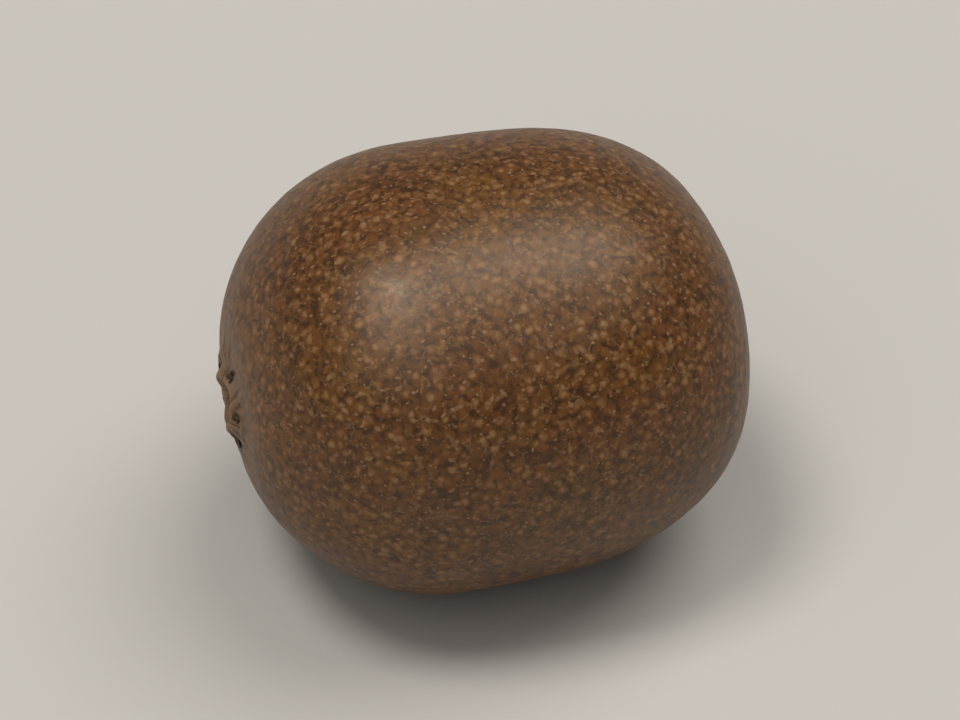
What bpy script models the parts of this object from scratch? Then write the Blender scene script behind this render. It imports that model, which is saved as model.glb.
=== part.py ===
"""Golden kiwi fruit lying on its side, as one solid.

The fruit is a slightly flattened barrel. Its long axis is X: the stem end faces -X and the
blossom end faces +X. It rests on a small flat spot at z = 0, and the origin is on that spot,
under the middle of the fruit's box.
"""

import math

import bmesh
import bpy
import numpy as np

# The plain barrel, in metres.
LENGTH = 0.0630  # along X
WIDTH = 0.0563  # along Y
THICKNESS = 0.0526  # along Z, before the resting spot is flattened
WIDEST_AT = -0.0045  # the widest place lies this far towards the stem end from mid length
REST_FLAT_DEPTH = 0.0003  # how far the resting spot is pressed in

# How square the outlines are: 2 is an ellipse, and more is fuller towards the corners.
STEM_FULLNESS = 2.20  # side profile, from the widest place to the stem end
BLOSSOM_FULLNESS = 2.80  # side profile, from the widest place to the blossom end
SECTION_FULLNESS = 2.05  # seen from an end

# Three faint lobes run from end to end and keep the section from being a true ellipse.
LOBES = 3
LOBE_SHARE = 0.005  # of the local radius
LOBE_TURN = math.radians(35)

# Stem end: a broad hollow, a corky ring where the stalk was, and the pit inside the ring.
STEM_HOLLOW_DEPTH = 0.0008
STEM_HOLLOW_RADIUS = 0.0075
RING_HEIGHT = 0.0009
RING_RADIUS = 0.0034
RING_HALF_WIDTH = 0.0011
PIT_DEPTH = 0.0018
PIT_RADIUS = 0.0020

# Blossom end: a shallow hollow with the hard button that the flower's styles leave.
BLOSSOM_HOLLOW_DEPTH = 0.0006
BLOSSOM_HOLLOW_RADIUS = 0.0065
BUTTON_HEIGHT = 0.0011
BUTTON_RADIUS = 0.0019

# The mesh. Rings are crowded towards the two ends, where the small features are.
SEGMENTS_AROUND = 56
RINGS_ALONG = 52
RING_CROWDING = 0.40  # 0 spaces the rings evenly, and 0.5 is the most

# The resting spot's cut keeps existing points that lie this near to its plane.
CUT_SNAP = 0.00002

SKIN_COLOUR = (0.115, 0.052, 0.021, 1.0)  # bronze brown, linear
SKIN_ROUGHNESS = 0.48

FRUIT_NAME = "kiwi_fruit"
COLLECTION_NAME = "golden_kiwi_fruit"


def clear_scene():
    """Remove every object, so that only the fruit is left."""
    for thing in list(bpy.data.objects):
        bpy.data.objects.remove(thing, do_unlink=True)


def superellipse_radius(cosine, sine, fullness):
    """Radius of |x|^n + |y|^n = 1 in the direction (cosine, sine)."""
    return (np.abs(cosine) ** fullness + np.abs(sine) ** fullness) ** (-1.0 / fullness)


def bump(distance, radius, sharpness=2.0):
    """1 on the axis, falling smoothly to nothing past the radius."""
    return np.exp(-((distance / radius) ** sharpness))


def stem_relief(distance):
    """How far the stem end stands out of the plain barrel, by distance from the axis."""
    hollow = STEM_HOLLOW_DEPTH * bump(distance, STEM_HOLLOW_RADIUS)
    ring = RING_HEIGHT * bump(distance - RING_RADIUS, RING_HALF_WIDTH)
    pit = PIT_DEPTH * bump(distance, PIT_RADIUS, 4.0)
    return ring - hollow - pit


def blossom_relief(distance):
    """How far the blossom end stands out of the plain barrel, by distance from the axis."""
    hollow = BLOSSOM_HOLLOW_DEPTH * bump(distance, BLOSSOM_HOLLOW_RADIUS)
    button = BUTTON_HEIGHT * bump(distance, BUTTON_RADIUS)
    return button - hollow


def fruit_surface(directions):
    """Move points of a unit sphere, given as rows of x, y, z, onto the fruit's skin."""
    even_angle = np.arccos(np.clip(directions[:, 0], -1.0, 1.0))
    angle = even_angle - RING_CROWDING * np.sin(2.0 * even_angle)
    around = np.arctan2(directions[:, 2], directions[:, 1])

    # Side profile: x along the axis and a radius that is 1 at the widest place.
    at_stem = directions[:, 0] < 0
    fullness = np.where(at_stem, STEM_FULLNESS, BLOSSOM_FULLNESS)
    reach = np.where(at_stem, LENGTH / 2 + WIDEST_AT, LENGTH / 2 - WIDEST_AT)
    profile = superellipse_radius(np.cos(angle), np.sin(angle), fullness)
    x = WIDEST_AT + reach * profile * np.cos(angle)
    radius = profile * np.sin(angle)

    # Cross section: wider than it is thick, with faint lobes that fade out at the ends.
    section = superellipse_radius(np.cos(around), np.sin(around), SECTION_FULLNESS)
    section *= 1.0 + LOBE_SHARE * np.cos(LOBES * around + LOBE_TURN) * np.sin(angle)
    y = WIDTH / 2 * radius * section * np.cos(around)
    z = THICKNESS / 2 * radius * section * np.sin(around)

    # End features, which only move points along the axis.
    distance = np.hypot(y, z)
    x += np.where(at_stem, -stem_relief(distance), blossom_relief(distance))
    return np.column_stack([x, y, z])


def flatten_resting_spot(mesh_data):
    """Slice the lowest part off level and close the cut with one flat face."""
    level = min(vertex.co.z for vertex in mesh_data.verts) + REST_FLAT_DEPTH
    bmesh.ops.bisect_plane(
        mesh_data,
        geom=mesh_data.verts[:] + mesh_data.edges[:] + mesh_data.faces[:],
        dist=CUT_SNAP,
        plane_co=(0.0, 0.0, level),
        plane_no=(0.0, 0.0, 1.0),
        clear_inner=True,
    )
    rim = [edge for edge in mesh_data.edges if edge.is_boundary]
    bmesh.ops.contextual_create(mesh_data, geom=rim)


def stand_on_origin(mesh_data):
    """Put the middle of the box over the origin and its lowest point at z = 0."""
    points = np.array([vertex.co[:] for vertex in mesh_data.verts])
    low = points.min(axis=0)
    high = points.max(axis=0)
    shift = (-(low[0] + high[0]) / 2, -(low[1] + high[1]) / 2, -low[2])
    bmesh.ops.translate(mesh_data, verts=mesh_data.verts[:], vec=shift)


def skin_material():
    """Satin bronze-brown skin."""
    material = bpy.data.materials.new("kiwi_skin")
    material.use_nodes = True
    shader = material.node_tree.nodes["Principled BSDF"]
    shader.inputs["Base Color"].default_value = SKIN_COLOUR
    shader.inputs["Roughness"].default_value = SKIN_ROUGHNESS
    shader.inputs["Metallic"].default_value = 0.0
    return material


def make_fruit(collection):
    """The whole fruit as one closed mesh."""
    fruit_mesh = bmesh.new()
    bmesh.ops.create_uvsphere(
        fruit_mesh, u_segments=SEGMENTS_AROUND, v_segments=RINGS_ALONG, radius=1.0
    )
    # The sphere's poles are on Z. Swapping the axes in a cycle puts them on X.
    directions = np.array([(v.co.z, v.co.x, v.co.y) for v in fruit_mesh.verts])
    for vertex, point in zip(fruit_mesh.verts, fruit_surface(directions)):
        vertex.co = point
    flatten_resting_spot(fruit_mesh)
    stand_on_origin(fruit_mesh)
    bmesh.ops.recalc_face_normals(fruit_mesh, faces=fruit_mesh.faces[:])

    mesh = bpy.data.meshes.new(FRUIT_NAME)
    fruit_mesh.to_mesh(mesh)
    fruit_mesh.free()
    mesh.shade_smooth()
    mesh.materials.append(skin_material())
    fruit = bpy.data.objects.new(FRUIT_NAME, mesh)
    collection.objects.link(fruit)
    return fruit


def main():
    clear_scene()
    collection = bpy.data.collections.new(COLLECTION_NAME)
    bpy.context.scene.collection.children.link(collection)
    make_fruit(collection)


main()
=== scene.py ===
"""The looks of one whole golden kiwi fruit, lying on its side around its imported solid.

Metres, +Z up. The stem end faces -X and the blossom end faces +X. The fruit lies on a small flat
spot at z = 0.
"""

import math

import bpy
import numpy as np
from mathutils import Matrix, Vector


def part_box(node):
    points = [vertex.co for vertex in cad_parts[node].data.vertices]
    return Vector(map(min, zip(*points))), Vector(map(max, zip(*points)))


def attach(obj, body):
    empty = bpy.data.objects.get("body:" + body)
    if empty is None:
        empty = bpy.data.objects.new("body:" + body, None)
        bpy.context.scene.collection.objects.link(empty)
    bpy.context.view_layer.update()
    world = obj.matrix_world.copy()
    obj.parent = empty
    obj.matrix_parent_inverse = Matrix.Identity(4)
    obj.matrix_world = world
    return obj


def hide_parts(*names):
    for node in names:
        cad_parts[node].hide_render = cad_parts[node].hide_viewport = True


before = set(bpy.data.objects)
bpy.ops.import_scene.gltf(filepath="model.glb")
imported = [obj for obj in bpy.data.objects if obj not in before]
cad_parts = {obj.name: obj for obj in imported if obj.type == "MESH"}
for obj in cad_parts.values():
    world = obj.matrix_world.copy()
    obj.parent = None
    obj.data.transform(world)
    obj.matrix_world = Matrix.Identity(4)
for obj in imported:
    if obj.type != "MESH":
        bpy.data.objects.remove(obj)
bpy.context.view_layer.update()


# ---------------------------------------------------------------------------------------------
# The skin. A golden kiwi's skin is a thin, tough, almost hairless sheet of dead cork cells over
# the flesh, bronze brown and satin. It grew in one piece, puckered round the stalk's scar at one
# end and round the dried flower at the other.
# ---------------------------------------------------------------------------------------------

box_low, box_high = (np.array(corner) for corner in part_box("kiwi_fruit"))
ends_stand_out = 0.0007  # the stem ring and the blossom button add this to the barrel's length
pressed_flat = 0.0003  # and the resting spot takes this off its thickness
half = (box_high - box_low + np.array([-ends_stand_out, 0.0, pressed_flat])) / 2
middle = np.array([0.0, 0.0, box_high[2] - half[2]])
widest_at = -0.0045  # the widest place, from mid length
# How square the outlines are: 2 is an ellipse, and more is fuller towards the corners.
stem_fullness, blossom_fullness, section_fullness = 2.20, 2.80, 2.05
lobe_share, lobe_turn = 0.005, 0.61  # three faint lobes, as a share of the radius

# Stem end: a corky ring round the pit, a second fold outside it, and a broad hollow under both.
ring_radius, ring_height, ring_half_width = 0.0034, 0.00105, 0.0011
fold_radius, fold_height, fold_half_width = 0.0062, 0.00028, 0.0009
stem_hollow_depth, stem_hollow_radius = 0.0009, 0.0075
pit_depth, pit_radius = 0.0021, 0.0021
ring_wander, pit_wander = 0.00022, 0.00015  # how far they stray from true circles

# Blossom end: the hard button that the styles stand on, in a shallow hollow.
button_height, button_radius = 0.0010, 0.0019
blossom_hollow_depth, blossom_hollow_radius = 0.0007, 0.0062

# The whole skin: broad dents, faint ribs from end to end, and a fine peel.
dent_depth, dent_length = 0.00012, 0.024
rib_height, rib_count = 0.00004, 13
peel_height, peel_length = 0.000012, 0.0030


def superellipse(cosine, sine, fullness):
    """Radius of |x|^n + |y|^n = 1 in the direction (cosine, sine)."""
    return (np.abs(cosine) ** fullness + np.abs(sine) ** fullness) ** (-1.0 / fullness)


def side_profile(along):
    """Length in metres, widest + reach * rho * cos t, and radius as a share of the widest,
    rho * sin t, with the superellipse radius rho and the reach of whichever end t faces."""
    at_stem = np.cos(along) < 0
    fullness = np.where(at_stem, stem_fullness, blossom_fullness)
    reach = half[0] + np.where(at_stem, widest_at, -widest_at)
    rho = superellipse(np.cos(along), np.sin(along), fullness)
    return widest_at + reach * rho * np.cos(along), rho * np.sin(along), reach, fullness


def bump(distance, radius, sharpness=2.0):
    """exp(-|d / r|^s): 1 at no distance, falling smoothly to nothing past the radius."""
    return np.exp(-(np.abs(distance / radius) ** sharpness))


def waves(points, length, count, seed):
    """Smooth unevenness of standard deviation 1: the sum of `count` waves
    cos(2 pi d.p / length + phase), over the root of count / 2, in seeded directions d."""
    draw = np.random.default_rng(seed)
    directions = draw.normal(size=(points.shape[-1], count))
    directions /= np.linalg.norm(directions, axis=0)
    directions *= 2 * np.pi / (length * draw.uniform(0.75, 1.4, count))
    phases = draw.uniform(0, 2 * np.pi, count)
    return np.cos(points @ directions + phases).sum(axis=-1) / math.sqrt(count / 2)


def pucker(distance, around, count, seed):
    """Creases that run out from an end, from 0 on the folds to 1 in the creases: 1 - |w| of waves
    w taken on a unit circle, so that they close, and drawn out along the distance."""
    crease_run = 0.014  # metres along a crease for each unit of the circle
    circle = np.stack([np.cos(around), np.sin(around), distance / crease_run], axis=-1)
    return np.clip(1.0 - np.abs(waves(circle, 2 * np.pi / count, 26, seed)), 0.0, 1.0)


def stem_end(distance, around):
    """How far the stem end stands out of the barrel, and how strongly it is creased, which also sets the
    shade painted into its creases. Relief = ring + second fold - hollow - pit - creases, each a bump of the
    distance from the axis."""
    rim = np.stack([np.cos(around), np.sin(around)], axis=-1)
    wander = waves(rim, 2.2, 9, 41)
    off_ring = distance - (ring_radius + ring_wander * wander)
    ring = ring_height * (1 + 0.22 * waves(rim, 1.3, 9, 42)) * bump(off_ring, ring_half_width)
    second_fold = fold_height * (1 + 0.8 * wander) * bump(distance - fold_radius, fold_half_width)
    hollow = stem_hollow_depth * bump(distance, stem_hollow_radius)
    pit = pit_depth * bump(distance, pit_radius + pit_wander * wander, 4.0)
    creases = pucker(distance, around, 13, 43) ** 3
    crease_depth = 0.00022 * bump(distance - 0.0045, 0.0030) + 0.00003 * bump(distance - 0.0095, 0.0035)
    return ring + second_fold - hollow - pit - crease_depth * creases, creases


def blossom_end(distance, around):
    """How far the blossom end stands out of the barrel, and how strongly it is creased, which also sets the
    shade painted into its creases.
    Relief = button - hollow - creases, each a bump of the distance from the axis."""
    button = button_height * bump(distance, button_radius, 3.0)
    hollow = blossom_hollow_depth * bump(distance, blossom_hollow_radius)
    creases = pucker(distance, around, 15, 53) ** 3
    crease_depth = 0.00016 * bump(distance - 0.0040, 0.0026) + 0.00002 * bump(distance - 0.0080, 0.0030)
    return button - hollow - crease_depth * creases, creases


def skin_surface(along, around):
    """Points of the skin. `along` runs from 0 at the blossom end to pi at the stem end, and `around`
    turns about the axis from +Y towards +Z. The side profile is the superellipse
    |x/a|^n + r^n = 1, the section |y/b|^m + |z/c|^m = r^m, and dents, faint ribs and peel are added
    along the outward direction. Points under z = 0 are pressed flat."""
    x, radius, reach, fullness = side_profile(along)
    section = superellipse(np.cos(around), np.sin(around), section_fullness)
    section = section * (1 + lobe_share * np.cos(3 * around + lobe_turn) * np.sin(along))
    y, z = half[1] * radius * section * np.cos(around), half[2] * radius * section * np.sin(around)
    points = np.stack([x, y, z], axis=-1)
    # The gradient of |x/a|^n + r^n points outward.
    share = (x - widest_at) / reach
    outward = np.stack([
        np.sign(share) * np.abs(share) ** (fullness - 1) / reach,
        radius ** (fullness - 1) * np.cos(around) / half[1],
        radius ** (fullness - 1) * np.sin(around) / half[2],
    ], axis=-1)
    outward /= np.linalg.norm(outward, axis=-1, keepdims=True)

    dents = dent_depth * waves(points, dent_length, 12, 11)
    ribs = rib_height * np.cos(rib_count * around + 0.8 * waves(points, 0.03, 6, 12)) * np.sin(along) ** 2
    peel = peel_height * waves(points, peel_length, 40, 13)
    points = points + outward * (dents + ribs + peel)[..., None]

    distance = np.hypot(points[..., 1], points[..., 2])
    stem, _ = stem_end(distance, around)
    blossom, _ = blossom_end(distance, around)
    points[..., 0] += np.where(np.cos(along) < 0, -stem, blossom)
    points = points + middle
    # Smooth maximum with z = 0 over a tenth of a millimetre.
    softness = 0.0001
    points[..., 2] = softness * np.logaddexp(0.0, points[..., 2] / softness)
    return points


def ring_angles(count, crowding=0.40):
    """`count` angles between 0 and pi, t - crowding * sin 2t, closer together towards both ends."""
    even = np.linspace(0.0, math.pi, count + 2)[1:-1]
    return even - crowding * np.sin(2 * even)


def tube_faces(rings, sides):
    """Quads between `rings` closed rings of `sides` points each, facing out when the rings turn
    with the right hand about the way from the last ring to the first."""
    ring, side = np.meshgrid(np.arange(rings - 1), np.arange(sides), indexing="ij")
    after = (side + 1) % sides
    this_ring, next_ring = ring * sides, (ring + 1) * sides
    corners = [this_ring + side, next_ring + side, next_ring + after, this_ring + after]
    return np.stack(corners, axis=-1).reshape(-1, 4)


def cap_faces(ring_start, sides, pole, flip):
    """Triangles that close one ring of points with a single pole point."""
    side = np.arange(sides)
    first, second = ring_start + side, ring_start + (side + 1) % sides
    if flip:
        first, second = second, first
    return np.stack([first, second, np.full(sides, pole)], axis=-1)


def piece_from(name, points, faces, material, values=None):
    """A smooth mesh object at the origin from points, face rows and named values at its points."""
    mesh = bpy.data.meshes.new(name)
    mesh.from_pydata(points.reshape(-1, 3).tolist(), [], [row for part in faces for row in part.tolist()])
    for label, value in (values or {}).items():
        layer = mesh.attributes.new(label, "FLOAT", "POINT")
        layer.data.foreach_set("value", np.ascontiguousarray(value, dtype=np.float32).ravel())
    mesh.shade_smooth()
    mesh.materials.append(material)
    piece = bpy.data.objects.new(name, mesh)
    bpy.context.scene.collection.objects.link(piece)
    return piece


def add(tree, kind, inputs=None, **settings):
    """A node with its settings, and its inputs set to values or linked to sockets."""
    made = tree.nodes.new(kind)
    for label, value in settings.items():
        setattr(made, label, value)
    for label, value in (inputs or {}).items():
        if isinstance(value, bpy.types.NodeSocket):
            tree.links.new(value, made.inputs[label])
        else:
            made.inputs[label].default_value = value
    return made


def mixed(tree, factor, first, second):
    """The colour between first and second at the factor."""
    made = add(tree, "ShaderNodeMix", data_type="RGBA")
    for index, value in ((0, factor), (6, first), (7, second)):
        if isinstance(value, bpy.types.NodeSocket):
            tree.links.new(value, made.inputs[index])
        else:
            made.inputs[index].default_value = value if index == 0 else (*value, 1.0)
    return made.outputs[2]


def sums(tree, operation, first, second):
    """One step of arithmetic."""
    return add(tree, "ShaderNodeMath", {0: first, 1: second}, operation=operation).outputs[0]


def between(tree, value, start, end, low=0.0, high=1.0):
    """low where the value is at start and high where it is at end, smoothly in between."""
    ends = {"Value": value, "From Min": start, "From Max": end, "To Min": low, "To Max": high}
    return add(tree, "ShaderNodeMapRange", ends, interpolation_type="SMOOTHSTEP").outputs[0]


def grain(tree, place, per_metre, detail=3.0, roughness=0.6):
    """Noise from 0 to 1 with that many lumps to the metre."""
    inputs = {"Vector": place, "Scale": per_metre, "Detail": detail, "Roughness": roughness}
    return add(tree, "ShaderNodeTexNoise", inputs).outputs[0]


def value_at(tree, label):
    """A value stored at the mesh's points."""
    return add(tree, "ShaderNodeAttribute", attribute_name=label).outputs["Fac"]


def new_material(name, roughness, specular=0.5):
    """An empty material, its node tree, its shader and the object's own coordinates."""
    material = bpy.data.materials.new(name)
    material.use_nodes = True
    tree = material.node_tree
    shader = tree.nodes["Principled BSDF"]
    shader.inputs["Roughness"].default_value = roughness
    shader.inputs["Specular IOR Level"].default_value = specular
    return material, tree, shader, add(tree, "ShaderNodeTexCoord").outputs["Object"]


def ground_colour(tree, place):
    """Bronze brown that drifts to ochre, olive and red brown in patches 10 to 25 mm across."""
    bronze, ochre = (0.108, 0.0375, 0.0045), (0.118, 0.0435, 0.0032)
    red_brown, olive = (0.110, 0.0350, 0.0075), (0.086, 0.0370, 0.0060)
    broad = between(tree, grain(tree, place, 62, 1.0), 0.42, 0.62)
    patches = add(tree, "ShaderNodeTexNoise", {"Vector": place, "Scale": 85.0, "Detail": 1.0})
    redder = between(tree, patches.outputs[1], 0.45, 0.62, 0.0, 0.6)
    greener = between(tree, grain(tree, place, 110, 2.0), 0.55, 0.72, 0.0, 0.6)
    colour = mixed(tree, broad, bronze, ochre)
    colour = mixed(tree, redder, colour, red_brown)
    return mixed(tree, greener, colour, olive)


skin_specular = 0.64
gap_brown, pin_brown = (0.036, 0.0120, 0.0018), (0.034, 0.012, 0.005)
thread_tan, pore_tan = (0.215, 0.112, 0.044), (0.245, 0.132, 0.056)
# The last brown is the blossom button's own dark colour. It is also painted as shade into the stem pit and
# the creases at both ends.
fold_tan, button_brown_and_painted_crease_shade = (0.200, 0.122, 0.066), (0.032, 0.015, 0.008)


def skin_material():
    """Satin cork skin: ground colour, a close mottle of pale pores and threads in darker brown,
    dark pin marks, paler corky folds at the ends, painted shade in the stem pit and the creases at both
    ends, the blossom button's own dark brown, and a fine grain in the bump."""
    material, tree, shader, place = new_material("kiwi_skin", 0.43, skin_specular)
    shader.inputs["Specular Tint"].default_value = (1.0, 0.88, 0.74, 1.0)
    colour = ground_colour(tree, place)

    # The pores' outlines wander, so the pattern is read a little off its place.
    wander = add(tree, "ShaderNodeTexNoise", {"Vector": place, "Scale": 1000.0, "Detail": 2.0}).outputs[1]
    centred = add(tree, "ShaderNodeVectorMath", {0: wander, 1: (-0.5, -0.5, -0.5)}, operation="ADD")
    drift = add(tree, "ShaderNodeVectorMath", {0: centred.outputs[0], "Scale": 0.0009}, operation="SCALE")
    bent = add(tree, "ShaderNodeVectorMath", {0: place, 1: drift.outputs[0]}, operation="ADD").outputs[0]

    # Dark gaps in the cork, then pale threads where a noise crosses its middle, then pale pores.
    cells = add(tree, "ShaderNodeTexVoronoi", {"Vector": bent, "Scale": 790.0})
    gaps = between(tree, cells.outputs["Distance"], 0.34, 0.66)
    patchy = between(tree, grain(tree, place, 1300, 3.0, 0.65), 0.40, 0.60, 0.25, 1.0)
    colour = mixed(tree, sums(tree, "MULTIPLY", gaps, patchy), colour, gap_brown)
    crossing = sums(tree, "ABSOLUTE", sums(tree, "SUBTRACT", grain(tree, bent, 560, 1.0), 0.5), 0.0)
    threads = between(tree, crossing, 0.070, 0.010, 0.0, 0.50)
    broken = between(tree, grain(tree, place, 1100, 2.0), 0.46, 0.60)
    colour = mixed(tree, sums(tree, "MULTIPLY", threads, broken), colour, thread_tan)
    strength = add(tree, "ShaderNodeSeparateColor", {0: cells.outputs["Color"]}).outputs[0]
    small_pores = between(tree, cells.outputs["Distance"], 0.44, 0.10)
    small_pores = sums(tree, "MULTIPLY", small_pores, between(tree, strength, 0.15, 0.95, 0.0, 0.85))
    colour = mixed(tree, small_pores, colour, pore_tan)

    marks = add(tree, "ShaderNodeTexVoronoi", {"Vector": bent, "Scale": 420.0})
    mark_number = add(tree, "ShaderNodeSeparateColor", {0: marks.outputs["Color"]}).outputs[1]
    chosen = between(tree, mark_number, 0.78, 0.84)
    pin_marks = sums(tree, "MULTIPLY", between(tree, marks.outputs["Distance"], 0.14, 0.05), chosen)
    colour = mixed(tree, sums(tree, "MULTIPLY", pin_marks, 0.7), colour, pin_brown)

    streaks = between(tree, grain(tree, place, 900, 3.0), 0.30, 0.62, 0.45, 1.0)
    corky = sums(tree, "MULTIPLY", value_at(tree, "cork"), streaks)
    colour = mixed(tree, corky, colour, fold_tan)
    # Painted shade: the stem pit and the creases round both ends are darkened. The same mask gives the
    # blossom button its own dark brown.
    colour = mixed(tree, value_at(tree, "crease"), colour, button_brown_and_painted_crease_shade)
    tree.links.new(colour, shader.inputs["Base Color"])

    fine = grain(tree, place, 2600, 3.0)
    rough = between(tree, grain(tree, place, 700, 4.0), 0.3, 0.7, 0.39, 0.49)
    duller = sums(tree, "MULTIPLY", sums(tree, "ADD", small_pores, corky), 0.12)
    tree.links.new(sums(tree, "ADD", rough, duller), shader.inputs["Roughness"])
    height = sums(tree, "ADD", sums(tree, "MULTIPLY", fine, 0.35), sums(tree, "MULTIPLY", small_pores, 0.4))
    height = sums(tree, "SUBTRACT", height, sums(tree, "MULTIPLY", pin_marks, 0.25))
    relief = add(tree, "ShaderNodeBump", {"Height": height, "Distance": 0.00002, "Strength": 1.0})
    tree.links.new(relief.outputs[0], shader.inputs["Normal"])
    return material


skin_rings, skin_sides = 236, 400
along, around = np.meshgrid(
    ring_angles(skin_rings), np.linspace(0, 2 * math.pi, skin_sides, endpoint=False), indexing="ij"
)
skin_points = skin_surface(along, around).reshape(-1, 3)
poles = skin_surface(np.array([0.0, math.pi]), np.array([0.0, 0.0]))
skin_points = np.vstack([skin_points, poles])
skin_faces = [
    tube_faces(skin_rings, skin_sides),
    cap_faces(0, skin_sides, skin_rings * skin_sides, flip=False),
    cap_faces((skin_rings - 1) * skin_sides, skin_sides, skin_rings * skin_sides + 1, flip=True),
]

from_axis = np.hypot(skin_points[:, 1] - middle[1], skin_points[:, 2] - middle[2])
turned = np.arctan2(skin_points[:, 2] - middle[2], skin_points[:, 1] - middle[1])
at_stem = skin_points[:, 0] < 0
stem_creases = stem_end(from_axis, turned)[1]
blossom_creases = blossom_end(from_axis, turned)[1]
cork = np.where(
    at_stem,
    0.95 * bump(from_axis - 0.0034, 0.0017) + 0.45 * bump(from_axis - 0.0072, 0.0030),
    0.55 * bump(from_axis - 0.0035, 0.0020),
)
# The crease mask: painted shade in the stem pit and in the creases round both ends, and the blossom button's
# own dark colour.
crease = np.where(
    at_stem,
    np.maximum(bump(from_axis, 0.0021, 6.0), 0.75 * stem_creases * bump(from_axis - 0.0050, 0.0036)),
    np.maximum(0.8 * bump(from_axis, 0.0018, 4.0), 0.6 * blossom_creases * bump(from_axis - 0.0040, 0.0030)),
)
skin = piece_from("kiwi_skin", skin_points, skin_faces, skin_material(), {"cork": cork, "crease": crease})
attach(skin, "root")
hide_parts("kiwi_fruit")


# ---------------------------------------------------------------------------------------------
# The lenticels: some 5,400 cork pores that the skin breathes through. Each is a low, dull, tan
# blister, about 0.3 mm across where it shows above the skin, and fades into the brown at its edge.
# ---------------------------------------------------------------------------------------------

pore_count = 5600  # before those on the ends and under the fruit are left out
pore_corners = 7
golden_angle = math.pi * (3 - math.sqrt(5))


def evenly_scattered(count, seed):
    """Angles (along, around) of points spread evenly over the skin's area: the i-th lies where
    the area so far is (i + 1/2) / count of it, a golden angle further round, and is then nudged
    by about a third of the spacing."""
    nudge_share = 0.33
    steps = np.linspace(0.0, math.pi, 2001)
    x, radius, _, _ = side_profile(steps)
    r = radius * (half[1] + half[2]) / 2
    area = np.concatenate([[0.0], np.cumsum(np.hypot(np.diff(x), np.diff(r)) * (r[1:] + r[:-1]))])
    draw = np.random.default_rng(seed)
    share = (np.arange(count) + 0.5) / count
    spacing = math.sqrt(math.pi * area[-1] / count)
    along = np.interp(share, area / area[-1], steps)
    radius = np.interp(along, steps, r)
    along = along + draw.normal(0, nudge_share, count) * spacing / half[0]
    around = np.arange(count) * golden_angle
    around = around + draw.normal(0, nudge_share, count) * spacing / np.maximum(radius, spacing)
    return np.clip(along, 0.02, math.pi - 0.02), around


def lenticel_material():
    """Dull tan cork in the middle of each pore, the skin's own brown at its edge."""
    material, tree, shader, place = new_material("lenticel_cork", 0.60, skin_specular)
    tan = mixed(tree, grain(tree, place, 800, 2.0), (0.215, 0.112, 0.044), (0.290, 0.170, 0.080))
    colour = mixed(tree, value_at(tree, "paleness"), ground_colour(tree, place), tan)
    tree.links.new(colour, shader.inputs["Base Color"])
    relief = add(tree, "ShaderNodeBump", {"Height": grain(tree, place, 3600, 2.0), "Distance": 0.00001})
    tree.links.new(relief.outputs[0], shader.inputs["Normal"])
    return material


pore_along, pore_around = evenly_scattered(pore_count, 21)
pore_place = skin_surface(pore_along, pore_around)
pore_from_axis = np.hypot(pore_place[:, 1] - middle[1], pore_place[:, 2] - middle[2])
clear_of_ends = np.where(pore_place[:, 0] < 0, 0.0058, 0.0040)
kept = (pore_place[:, 2] > 0.0004) & (pore_from_axis > clear_of_ends)
pore_along, pore_around, pore_place = pore_along[kept], pore_around[kept], pore_place[kept]
pores = len(pore_place)

# Two directions in the skin at each pore, and the outward one, from points a little way off.
nudge = 0.004
to_stem = skin_surface(pore_along + nudge, pore_around) - pore_place
to_side = skin_surface(pore_along, pore_around + nudge) - pore_place
out = np.cross(to_side, to_stem)
to_stem /= np.linalg.norm(to_stem, axis=-1, keepdims=True)
out /= np.linalg.norm(out, axis=-1, keepdims=True)
out *= np.sign((out * (pore_place - middle)).sum(axis=-1, keepdims=True))
to_side = np.cross(to_stem, out)

draw = np.random.default_rng(22)
size = np.clip(draw.lognormal(math.log(0.00027), 0.30, pores), 0.00015, 0.00048)
stretch = draw.uniform(1.0, 1.7, pores)
turn = draw.normal(0.0, 0.7, pores)
corner = np.linspace(0, 2 * math.pi, pore_corners, endpoint=False)
ragged = draw.uniform(0.72, 1.18, (pores, pore_corners))
across = size[:, None] * ragged * np.cos(corner)
down = size[:, None] * ragged * np.sin(corner) * stretch[:, None]
side_part = across * np.cos(turn)[:, None] - down * np.sin(turn)[:, None]
stem_part = across * np.sin(turn)[:, None] + down * np.cos(turn)[:, None]
edge_sunk, root_sunk = 0.000012, 0.00005
rim_points = (
    pore_place[:, None]
    + side_part[..., None] * to_side[:, None]
    + stem_part[..., None] * to_stem[:, None]
    - edge_sunk * out[:, None]
)
rise = 0.000007 + 0.016 * size
top_points = pore_place + rise[:, None] * out
root_points = pore_place - root_sunk * out
pore_points = np.concatenate([rim_points, top_points[:, None], root_points[:, None]], axis=1)

side = np.arange(pore_corners)
after = (side + 1) % pore_corners
fan_top = np.stack([side, after, np.full(pore_corners, pore_corners)], axis=-1)
fan_root = np.stack([after, side, np.full(pore_corners, pore_corners + 1)], axis=-1)
one_pore = np.concatenate([fan_top, fan_root])
pore_faces = (np.arange(pores)[:, None, None] * (pore_corners + 2) + one_pore).reshape(-1, 3)
# Corners turn from to_side towards to_stem, so the fans face out where side x stem is outward.
paleness = np.zeros((pores, pore_corners + 2))
paleness[:, :pore_corners] = 0.10
paleness[:, pore_corners] = draw.uniform(0.30, 0.90, pores)
lenticels = piece_from("lenticels", pore_points, [pore_faces], lenticel_material(), {"paleness": paleness})
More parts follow.
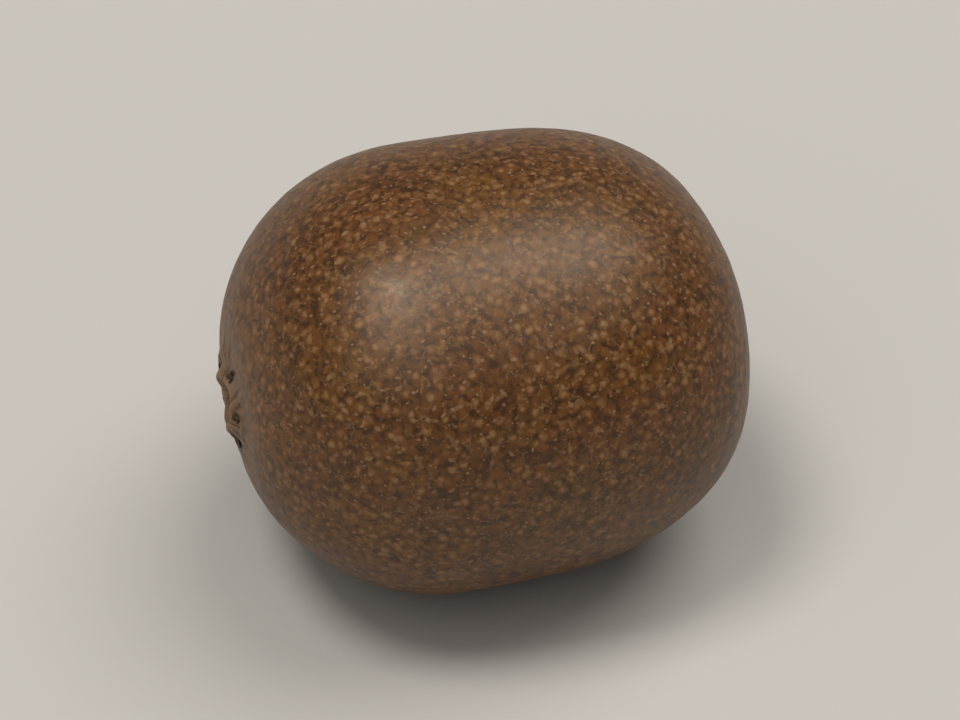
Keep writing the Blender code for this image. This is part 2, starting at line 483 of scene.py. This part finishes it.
# The buried underside is shaded apart from the top, so that the top's shading stays gentle.
edge_ends = np.empty(2 * len(lenticels.data.edges), dtype=np.int32)
lenticels.data.edges.foreach_get("vertices", edge_ends)
on_rim = (edge_ends.reshape(-1, 2) % (pore_corners + 2) < pore_corners).all(axis=1)
lenticels.data.edges.foreach_set("use_edge_sharp", on_rim)
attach(lenticels, "root")


# ---------------------------------------------------------------------------------------------
# The stalk's scar. The woody stalk snaps off when the fruit is picked. A fluted plug of its dry
# fibres stays in the pit, and the shrivelled tips of the sepals cling round the corky ring.
# ---------------------------------------------------------------------------------------------


def closed_body(rings, sides):
    """Angles (polar, turn) of a ball's points, two poles last, and its faces. Polar 0 is the pole
    ahead, and faces point out where ahead, side and up turn like X, Y and Z."""
    polar = np.linspace(0.0, math.pi, rings + 2)[1:-1]
    turn = np.linspace(0.0, 2 * math.pi, sides, endpoint=False)
    polar, turn = np.meshgrid(polar, turn, indexing="ij")
    last = rings * sides
    faces = [
        tube_faces(rings, sides),
        cap_faces(0, sides, last, flip=False),
        cap_faces((rings - 1) * sides, sides, last + 1, flip=True),
    ]
    return np.append(polar.ravel(), [0.0, math.pi]), np.append(turn.ravel(), [0.0, 0.0]), faces


def repeated(faces, points_each, count):
    """The faces of `count` copies of a shape whose points follow each other."""
    first_point = (np.arange(count) * points_each)[:, None, None]
    return [(first_point + part).reshape(-1, part.shape[1]) for part in faces]


def on_end(distance, around, fullness, way):
    """Skin points that far from the axis, on the end that `way` (-1 stem, 1 blossom) names: on the
    profile x^n + r^n = 1 the angle along is atan2(r, way * x)."""
    r = distance * 2 / (half[1] + half[2])
    return skin_surface(np.arctan2(r, way * (1 - r**fullness) ** (1 / fullness)), around)


def dry_material(name, dark, light, lumps_per_metre, bump_height):
    """Dry, dull plant tissue: two browns in fine grain, and the same grain in the bump."""
    material, tree, shader, place = new_material(name, 0.82, 0.3)
    lumps = grain(tree, place, lumps_per_metre, 4.0, 0.65)
    colour = mixed(tree, between(tree, lumps, 0.35, 0.66), dark, light)
    tree.links.new(colour, shader.inputs["Base Color"])
    rough = between(tree, lumps, 0.3, 0.7, 0.88, 0.70)
    tree.links.new(rough, shader.inputs["Roughness"])
    relief = add(tree, "ShaderNodeBump", {"Height": lumps, "Distance": bump_height, "Strength": 1.0})
    tree.links.new(relief.outputs[0], shader.inputs["Normal"])
    return material


plug_radius, plug_half_length, plug_sunk = 0.00150, 0.0011, 0.0002
polar, turn, plug_faces = closed_body(22, 72)
blunt = superellipse(np.cos(polar), np.sin(polar), 4.0)
flutes = 1 + 0.07 * np.cos(9 * turn + 0.6) + 0.05 * np.cos(14 * turn + 2.0)
plug_r = plug_radius * blunt * np.sin(polar) * flutes
plug_x = poles[1, 0] - plug_sunk + plug_half_length * blunt * np.cos(polar)
plug_points = np.stack([plug_x, plug_r * np.cos(turn), plug_r * np.sin(turn)], axis=-1)
snapped = np.clip(-np.cos(polar), 0.0, 1.0) ** 0.5
plug_points[:, 0] += 0.00016 * snapped * waves(plug_points[:, 1:], 0.0006, 24, 61)
plug_points += [0.0, poles[1, 1], poles[1, 2]]
plug = piece_from("stalk_plug", plug_points, plug_faces,
                  dry_material("stalk_fibre", (0.030, 0.018, 0.011), (0.150, 0.094, 0.056), 3200, 0.00008))
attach(plug, "root")

sepal_angles = np.radians([18, 92, 158, 232, 301])[:, None]
sepal_length = np.array([0.0016, 0.0021, 0.0014, 0.0019, 0.0015])[:, None]
sepal_width = np.array([0.0012, 0.0014, 0.0010, 0.0015, 0.0010])[:, None]
sepal_start, sepal_thickness, sepal_sunk, sepal_curl = 0.0038, 0.00020, 0.00002, 0.00022
polar, turn, sepal_faces = closed_body(14, 20)
outward_share = (1 + np.cos(polar)) / 2
sepal_distance = sepal_start + sepal_length * outward_share
across = sepal_width / 2 * np.sin(polar) ** 0.8 * np.cos(turn) * (1.15 - 0.55 * outward_share)
sepal_around = sepal_angles + across / sepal_distance + 0.10 * outward_share**2
sepal_points = on_end(sepal_distance, sepal_around, stem_fullness, -1.0)
rolled = 500.0 * across**2 * outward_share
lift = sepal_sunk + sepal_curl * outward_share**2 + rolled
crumple = 0.00006 * waves(np.stack([sepal_distance, sepal_around * 0.005], axis=-1), 0.0009, 14, 62)
sepal_points[..., 0] += sepal_thickness / 2 * np.sin(polar) * np.sin(turn) - lift + crumple
sepals = piece_from(
    "dried_sepals", sepal_points, repeated(sepal_faces, len(polar), len(sepal_angles)),
    dry_material("dry_sepal", (0.024, 0.014, 0.009), (0.095, 0.055, 0.032), 2600, 0.00005),
)
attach(sepals, "root")


# ---------------------------------------------------------------------------------------------
# The dried flower. The flower's styles, about thirty, wither to short dark bristles, which grew
# out of the hard button at the blossom end and splay out of it still.
# ---------------------------------------------------------------------------------------------

style_count = 30
foot_share = 0.15  # of a style's length is in the button
draw = np.random.default_rng(71)
style_turn = 2.39996  # from one style to the next: a golden angle, in radians
style_angle = (np.arange(style_count) * style_turn + draw.normal(0, 0.12, style_count))[:, None]
style_distance = np.linspace(0.0003, 0.0019, style_count)[:, None]
style_length = draw.uniform(0.0009, 0.0021, style_count)[:, None]
style_radius = draw.uniform(0.00011, 0.00018, style_count)[:, None]
splay = (0.25 + 420.0 * style_distance[:, 0] + draw.normal(0, 0.12, style_count))[:, None, None]
foot = on_end(style_distance, style_angle, blossom_fullness, 1.0)
radial = np.stack([0 * style_angle, np.cos(style_angle), np.sin(style_angle)], axis=-1)
sideways = np.stack([0 * style_angle, -np.sin(style_angle), np.cos(style_angle)], axis=-1)
ahead = np.cos(splay) * np.array([1.0, 0.0, 0.0]) + np.sin(splay) * radial
above = np.cross(ahead, sideways)
polar, turn, style_faces = closed_body(7, 6)
up_share = (1 + np.cos(polar)) / 2  # 0 at the foot and 1 at the tip
blunt = superellipse(np.cos(polar), np.sin(polar), 4.0)
style_r = style_radius * blunt * np.sin(polar) * (1.2 - 0.5 * up_share)
sag = (draw.normal(0, 0.22, style_count)[:, None] * style_length * up_share**2)[..., None]
style_points = (
    foot
    + (style_length * (up_share - foot_share))[..., None] * ahead
    + (style_r * np.cos(turn))[..., None] * sideways
    + (style_r * np.sin(turn))[..., None] * above
    + sag * sideways
)
styles = piece_from(
    "dried_styles", style_points, repeated(style_faces, len(polar), style_count),
    dry_material("dry_style", (0.014, 0.008, 0.005), (0.070, 0.040, 0.022), 2400, 0.00003),
)
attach(styles, "root")


# ---------------------------------------------------------------------------------------------
# The floor that the fruit lies on: a plain pale studio surface, not part of the object.
# ---------------------------------------------------------------------------------------------

floor_size = 6.0
bpy.ops.mesh.primitive_plane_add(size=floor_size)
floor = bpy.context.active_object
floor.name = "floor"
floor_material, _, floor_shader, _ = new_material("studio_floor", 0.9, 0.2)
floor_shader.inputs["Base Color"].default_value = (0.49, 0.48, 0.465, 1.0)
floor.data.materials.append(floor_material)


# ---------------------------------------------------------------------------------------------
# The camera, 43 degrees up and a little to the stem end's side, and soft light from three lamps.
# ---------------------------------------------------------------------------------------------

aim = Vector((0.0, 0.0, 0.0255))
turned_by, raised_by, away = math.radians(-15.0), math.radians(43.0), 0.485
back = Vector((
    math.sin(turned_by) * math.cos(raised_by),
    -math.cos(turned_by) * math.cos(raised_by),
    math.sin(raised_by),
))
camera_data = bpy.data.cameras.new("camera")
camera_data.lens = 150
camera_data.sensor_width = 36
camera_data.clip_start = 0.01
camera = bpy.data.objects.new("camera", camera_data)
bpy.context.scene.collection.objects.link(camera)
camera.location = aim + back * away
camera.rotation_euler = back.to_track_quat("Z", "Y").to_euler()
bpy.context.scene.camera = camera


def soft_sun(name, direction, spread, power, colour):
    """Light from a round patch of ceiling `spread` degrees across, in a direction from the fruit."""
    light = bpy.data.lights.new(name, "SUN")
    light.angle = math.radians(spread)
    light.energy = power
    light.color = colour
    sun = bpy.data.objects.new(name, light)
    bpy.context.scene.collection.objects.link(sun)
    direction = Vector(direction).normalized()
    sun.location = aim + direction
    sun.rotation_euler = direction.to_track_quat("Z", "Y").to_euler()


warm_white = (1.0, 0.955, 0.89)
soft_sun("left_lamp", (-0.294, 0.006, 0.956), 20, 1.35, warm_white)
soft_sun("right_lamp", (0.420, 0.110, 0.901), 40, 1.50, warm_white)
soft_sun("front_lamp", (-0.33, -0.33, 0.883), 70, 0.95, warm_white)

# The studio's walls are pale near the floor and dim higher up.
world = bpy.data.worlds.new("studio")
world.use_nodes = True
sky = world.node_tree
way = add(sky, "ShaderNodeSeparateXYZ", {0: add(sky, "ShaderNodeTexCoord").outputs["Generated"]}).outputs[2]
brightness = between(sky, way, 0.0, 0.20, 0.50, 0.09)
sky.links.new(brightness, sky.nodes["Background"].inputs["Strength"])
sky.nodes["Background"].inputs["Color"].default_value = (1.0, 0.99, 0.98, 1.0)
bpy.context.scene.world = world
bpy.context.scene.view_settings.view_transform = "Standard"
